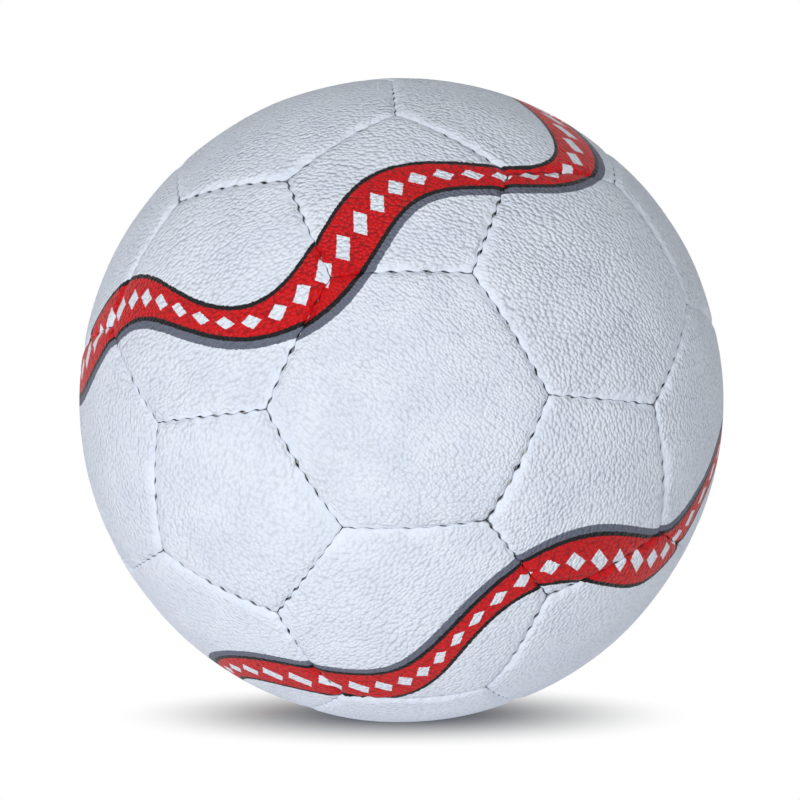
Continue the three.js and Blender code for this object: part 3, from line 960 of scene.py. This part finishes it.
def skinMaterial():
    material, tree, shader = newMaterial("grainedSkin")
    sheet = nodeOf(tree, "ShaderNodeUVMap", uv_map="sheetPlace").outputs[0]
    edge = nodeOf(tree, "ShaderNodeAttribute", attribute_name="edgeDistance").outputs["Fac"]
    depth = nodeOf(tree, "ShaderNodeAttribute", attribute_name="depthBelow").outputs["Fac"]
    pressed = nodeOf(tree, "ShaderNodeAttribute", attribute_name="grainDepth").outputs["Fac"]
    place = nodeOf(tree, "ShaderNodeAttribute", attribute_name="printPlace").outputs["Vector"]
    grain = placedGroup(tree, leatherGrain, {"Place": sheet})
    tone = placedGroup(tree, mottle, {"Place": sheet, "Size": skin["mottleSize"]})
    printed = placedGroup(tree, wavyRibbons, {"Place": place})
    colour = mixedColour(tree, tone["Value"], skin["white"], skin["cool"])
    colour = mixedColour(tree, printed["Shadow"], colour, skin["grey"])
    colour = mixedColour(tree, printed["Outline"], colour, skin["black"])
    # Painted shade: the red ink is darkened in the grain's creases
    thin = calc(tree, "MULTIPLY", grain["Crease"], skin["inkCrease"])
    ink = mixedColour(tree, thin, skin["red"], skin["creaseShadedRed"])
    colour = mixedColour(tree, printed["Ribbon"], colour, ink)
    dots = calc(tree, "MULTIPLY", printed["Diamond"], printed["Ribbon"])
    colour = mixedColour(tree, dots, colour, skin["white"])
    smoothBand = ramped(tree, grain["Patches"], 0, 1, *skin["smoothBand"])
    fade = ramped(tree, calc(tree, "DIVIDE", edge, smoothBand), 0.1, 1.0, skin["stretchedGrain"], 1.0)
    # Painted shade: the creases between the grains are darkened in colour, less so near the seams
    creaseShade = calc(tree, "MULTIPLY", calc(tree, "MULTIPLY", grain["Crease"], fade), skin["creaseTone"])
    colour = mixedColour(tree, creaseShade, colour, skin["groove"])
    # Painted shade in the seam groove, darker the deeper below the ball's surface
    grooveShade = ramped(tree, depth, *skin["grooveDepth"], 0, skin["grooveTone"])
    colour = mixedColour(tree, grooveShade, colour, skin["groove"])
    # Painted shade: faces deep inside the seam's openings are made nearly black
    colour = mixedColour(tree, ramped(tree, depth, *skin["deepShadeDepth"]), colour, skin["deepShade"])
    feed(tree, shader.inputs["Base Color"], colour)
    rough = ramped(tree, grain["Height"], 0.7, 1.2, *skin["roughness"])
    glossier = ramped(tree, printed["Outline"], 0, 1, 1.0, skin["inkGloss"])
    feed(tree, shader.inputs["Roughness"], calc(tree, "MULTIPLY", rough, glossier))
    shader.inputs["Specular IOR Level"].default_value = skin["specular"]
    patch = ramped(tree, grain["Patches"], 0, 1, skin["patchGrain"], 1.0)
    height = calc(tree, "MULTIPLY", grain["Height"], calc(tree, "MULTIPLY", fade, patch))
    height = calc(tree, "MULTIPLY", height, pressed)
    bump = nodeOf(tree, "ShaderNodeBump", {
        "Height": height,
        "Strength": 1.0,
        "Distance": skin["grainHeight"],
    })
    feed(tree, shader.inputs["Normal"], bump.outputs[0])
    return material


threadLook = {
    "pale": srgb(188, 188, 184),
    "dull": srgb(140, 140, 138),
    "dullSize": 3 * mm,
    "strandSize": 0.3 * mm,
    "strandHeight": 0.1 * mm,
    "roughness": (0.5, 0.7),
}


def threadMaterial():
    material, tree, shader = newMaterial("waxedThread")
    place = nodeOf(tree, "ShaderNodeTexCoord").outputs["Object"]
    tone = placedGroup(tree, mottle, {"Place": place, "Size": threadLook["dullSize"]})
    strands = placedGroup(tree, mottle, {"Place": place, "Size": threadLook["strandSize"]})
    colour = mixedColour(tree, tone["Value"], threadLook["pale"], threadLook["dull"])
    feed(tree, shader.inputs["Base Color"], colour)
    feed(tree, shader.inputs["Roughness"], ramped(tree, strands["Value"], 0, 1, *threadLook["roughness"]))
    bump = nodeOf(tree, "ShaderNodeBump", {
        "Height": strands["Value"],
        "Strength": 0.6,
        "Distance": threadLook["strandHeight"],
    })
    feed(tree, shader.inputs["Normal"], bump.outputs[0])
    return material


rubbers = {
    "bladderRubber": {
        "first": srgb(34, 34, 36), "second": srgb(52, 51, 52),
        "dustSize": 9 * mm, "roughness": 0.55, "grainSize": 1.2 * mm,
    },
    "bootRubber": {
        "first": srgb(30, 30, 31), "second": srgb(46, 45, 46),
        "dustSize": 2.5 * mm, "roughness": 0.5, "grainSize": 0.5 * mm,
    },
    "plugRubber": {
        "first": srgb(205, 203, 196), "second": srgb(186, 184, 178),
        "dustSize": 2 * mm, "roughness": 0.45, "grainSize": 0.4 * mm,
    },
}
rubberSpecular = 0.35
rubberDustier = 0.15  # the dusty spots are rougher by this
rubberGrainHeight = 0.04 * mm


def rubberMaterial(name):
    look = rubbers[name]
    material, tree, shader = newMaterial(name)
    place = nodeOf(tree, "ShaderNodeTexCoord").outputs["Object"]
    tone = placedGroup(tree, mottle, {"Place": place, "Size": look["dustSize"]})
    fine = placedGroup(tree, mottle, {"Place": place, "Size": look["grainSize"], "Detail": 2.0})
    feed(tree, shader.inputs["Base Color"], mixedColour(tree, tone["Value"], look["first"], look["second"]))
    rough = ramped(tree, tone["Value"], 0, 1, look["roughness"], look["roughness"] + rubberDustier)
    feed(tree, shader.inputs["Roughness"], rough)
    shader.inputs["Specular IOR Level"].default_value = rubberSpecular
    bump = nodeOf(tree, "ShaderNodeBump", {
        "Height": fine["Value"],
        "Strength": 0.5,
        "Distance": rubberGrainHeight,
    })
    feed(tree, shader.inputs["Normal"], bump.outputs[0])
    return material


grainedSkin = skinMaterial()
for piece in skins:
    piece.data.materials.append(grainedSkin)
stitchThread.data.materials.append(threadMaterial())
airBladder.data.materials.append(rubberMaterial("bladderRubber"))
rubberBoot.data.materials.append(rubberMaterial("bootRubber"))
valvePlug.data.materials.append(rubberMaterial("plugRubber"))
print("materials made")

# Floor, light and camera

studio = {
    "floorSize": 6.0,
    "floorGap": 0.05 * mm,
    "floorColour": srgb(170, 171, 173),
    "shadowColour": srgb(125, 126, 128),  # of the floor under the ball, as the camera sees it
    "ambient": 0.32,
    "floorGlow": 0.54,
    "shadowMiddle": 11.4 * mm,  # behind the ball's centre
    "shadowReach": (10 * mm, 77.5 * mm),
    "shadowNarrowing": 0.88,
}


def seenRays(tree):
    # 1 for what the camera sees, also in gloss or glass, and 0 for the light that reaches the ball
    path = nodeOf(tree, "ShaderNodeLightPath").outputs
    seen = calc(tree, "MAXIMUM", path["Is Camera Ray"], path["Is Transmission Ray"])
    return calc(tree, "MAXIMUM", seen, path["Is Glossy Ray"])


def makeFloor():
    bm = bmesh.new()
    bmesh.ops.create_grid(bm, x_segments=2, y_segments=2, size=studio["floorSize"] / 2)
    bmesh.ops.translate(bm, verts=bm.verts, vec=(0, 0, ball["restingHeight"] - studio["floorGap"]))
    mesh = bpy.data.meshes.new("floor")
    bm.to_mesh(mesh)
    bm.free()
    floor = bpy.data.objects.new("floor", mesh)
    bpy.context.scene.collection.objects.link(floor)
    material = bpy.data.materials.new("paleFloor")
    material.use_nodes = True
    tree = material.node_tree
    tree.nodes.remove(tree.nodes["Principled BSDF"])
    place = nodeOf(tree, "ShaderNodeTexCoord").outputs["Object"]
    parts = nodeOf(tree, "ShaderNodeSeparateXYZ", {"Vector": place}).outputs
    sideways = calc(tree, "POWER", calc(tree, "MULTIPLY", parts["X"], studio["shadowNarrowing"]), 2.0)
    forward = calc(tree, "POWER", calc(tree, "SUBTRACT", parts["Y"], studio["shadowMiddle"]), 2.0)
    reach = calc(tree, "SQRT", calc(tree, "ADD", sideways, forward))
    seen = seenRays(tree)
    white = calc(tree, "MULTIPLY", seen, ramped(tree, reach, *studio["shadowReach"]))
    tone = mixedColour(tree, seen, studio["floorColour"], studio["shadowColour"])
    matt = nodeOf(tree, "ShaderNodeBsdfDiffuse", {"Color": tone})
    unseen = calc(tree, "MULTIPLY", calc(tree, "SUBTRACT", 1.0, seen), studio["floorGlow"])
    glow = nodeOf(tree, "ShaderNodeEmission", {"Color": (1, 1, 1, 1), "Strength": unseen})
    bright = nodeOf(tree, "ShaderNodeEmission", {"Color": (1, 1, 1, 1), "Strength": 1.0})
    lit = wired(tree, nodeOf(tree, "ShaderNodeAddShader"), matt.outputs[0], glow.outputs[0])
    mixed = wired(tree, nodeOf(tree, "ShaderNodeMixShader"), white, lit, bright.outputs[0])
    feed(tree, tree.nodes["Material Output"].inputs["Surface"], mixed)
    mesh.materials.append(material)


def makeWorld():
    world = bpy.data.worlds.new("studioWorld")
    bpy.context.scene.world = world
    world.use_nodes = True
    tree = world.node_tree
    soft = nodeOf(tree, "ShaderNodeBackground", {"Color": (1, 1, 1, 1), "Strength": studio["ambient"]})
    white = nodeOf(tree, "ShaderNodeBackground", {"Color": (1, 1, 1, 1), "Strength": 1.0})
    seen = seenRays(tree)
    mixed = wired(tree, nodeOf(tree, "ShaderNodeMixShader"), seen, soft.outputs[0], white.outputs[0])
    feed(tree, tree.nodes["World Output"].inputs["Surface"], mixed)


lamps = {
    "keyLamp": {"place": (-0.645, -1.67, 0.16), "size": (0.7, 0.5), "power": 19.5},
    "fillLamp": {"place": (1.26, -0.73, 1.22), "size": (0.8, 0.6), "power": 3.8},
    "backLamp": {"place": (0.1, 1.9, 0.12), "size": (0.6, 0.5), "power": 14.0},
}


def softLamp(name, place, size, power):
    lamp = bpy.data.lights.new(name, "AREA")
    lamp.shape = "RECTANGLE"
    lamp.size, lamp.size_y = size
    lamp.energy = power
    holder = bpy.data.objects.new(name, lamp)
    bpy.context.scene.collection.objects.link(holder)
    holder.location = place
    holder.visible_camera = False
    holder.rotation_mode = "QUATERNION"
    holder.rotation_quaternion = (-Vector(place)).to_track_quat("-Z", "Y")  # towards the ball's centre


makeFloor()
makeWorld()
for name, lamp in lamps.items():
    softLamp(name, **lamp)
print("floor and lamps set")

lens = {
    "distance": 855.7 * mm,  # from the ball's centre
    "elevation": 1.0,  # degrees above level
    "focal": 131.32,
    "shiftX": -0.00156,
    "shiftY": -0.00036,
}


def makeCamera():
    camera = bpy.data.cameras.new("camera")
    camera.lens = lens["focal"]
    camera.sensor_width = 36
    camera.sensor_fit = "HORIZONTAL"
    camera.shift_x, camera.shift_y = lens["shiftX"], lens["shiftY"]
    camera.clip_start, camera.clip_end = 0.01, 50
    holder = bpy.data.objects.new("camera", camera)
    bpy.context.scene.collection.objects.link(holder)
    up = math.radians(lens["elevation"])
    holder.location = Vector((0, -math.cos(up), math.sin(up))) * lens["distance"]
    holder.rotation_mode = "QUATERNION"
    holder.rotation_quaternion = (-holder.location).to_track_quat("-Z", "Y")
    bpy.context.scene.camera = holder


makeCamera()
bpy.context.scene.view_settings.view_transform = "Standard"

bpy.context.view_layer.update()
